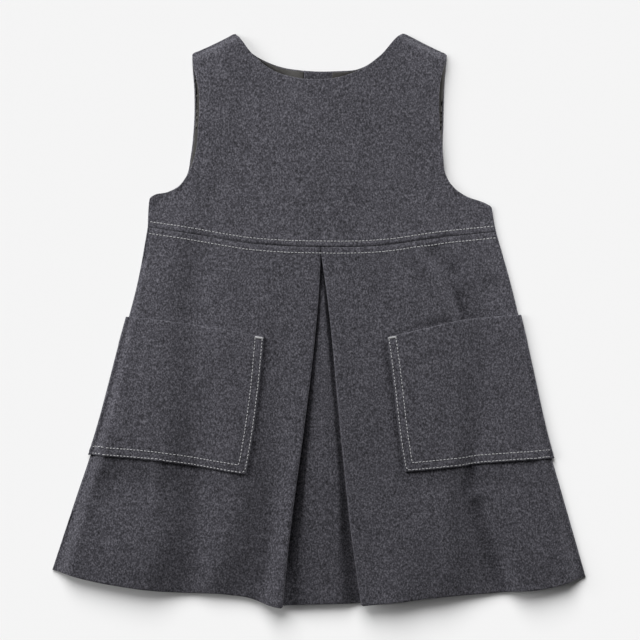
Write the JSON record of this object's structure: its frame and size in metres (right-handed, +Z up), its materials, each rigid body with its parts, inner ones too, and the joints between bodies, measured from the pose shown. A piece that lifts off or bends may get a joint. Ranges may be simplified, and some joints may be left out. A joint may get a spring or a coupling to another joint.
{
  "type": "pinafore dress laid flat",
  "caption": "Sleeveless child's pinafore dress in grey wool flannel, laid flat: round neck, waist seam, flared skirt with an inverted front pleat and patch pockets, back buttons.",
  "frame": {"origin": "on the floor, under the middle of the dress as it lies", "axes": "+Y from the hem to the neck, +X to the right as seen from above looking at the front, +Z up from the floor"},
  "size_m": [0.4169, 0.448, 0.0175],
  "materials": {
    "wool_flannel": "brushed melange wool flannel, matt with a soft nap",
    "lining_cloth": "smooth close-woven lining, low sheen",
    "button_resin": "dark polyester resin button, satin"
  },
  "bodies": {
    "root": {"front_bodice": "wool_flannel", "back_bodice_left": "wool_flannel", "back_bodice_right": "wool_flannel", "back_lining_left": "lining_cloth", "back_lining_right": "lining_cloth", "front_skirt": "wool_flannel", "back_skirt": "wool_flannel", "pocket_left": "wool_flannel", "pocket_right": "wool_flannel", "button_1": "button_resin", "button_2": "button_resin", "button_3": "button_resin"}
  },
  "joints": []
}
